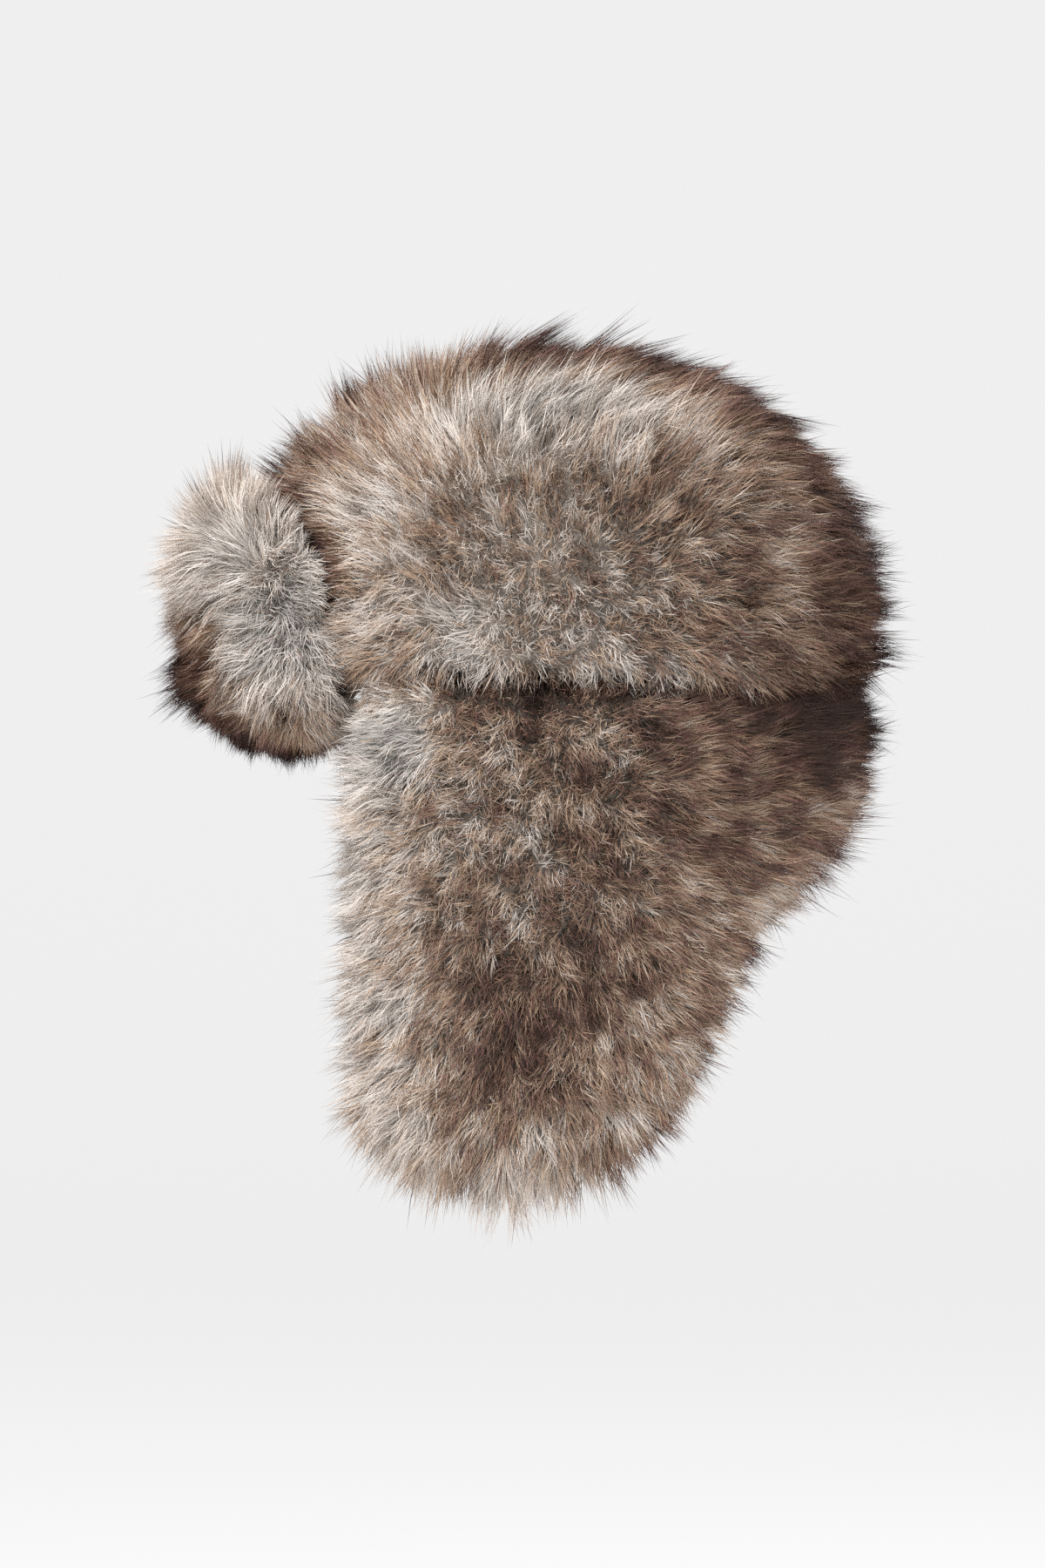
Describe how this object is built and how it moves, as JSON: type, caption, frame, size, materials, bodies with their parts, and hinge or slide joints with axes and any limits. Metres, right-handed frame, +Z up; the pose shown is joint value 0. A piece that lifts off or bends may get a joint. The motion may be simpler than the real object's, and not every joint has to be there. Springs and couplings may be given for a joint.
{
  "type": "fur trapper hat",
  "caption": "Deep-pile fur trapper hat with a round crown, a turned-up front flap, and one long flap that hangs over the ears and nape.",
  "frame": {"origin": "inside the crown, at the middle of its top, where the top of the head bears on it", "axes": "+Z up out of the crown's top, -Y towards the front flap, +X towards the wearer's left ear flap"},
  "size_m": [0.2312, 0.298, 0.3644],
  "materials": {
    "pale_fur": "deep pile fur, grey at the root, cream along the hair and dark brown at its tip",
    "dark_fur": "deep pile fur as on the crown, with longer dark brown tips",
    "backing_cloth": "plain matt cloth"
  },
  "bodies": {
    "root": {"crown": "backing_cloth", "crown_fur": "pale_fur", "front_flap": "backing_cloth", "front_flap_fur": "pale_fur", "ear_neck_flap": "backing_cloth", "ear_neck_flap_fur": "dark_fur"}
  },
  "joints": []
}
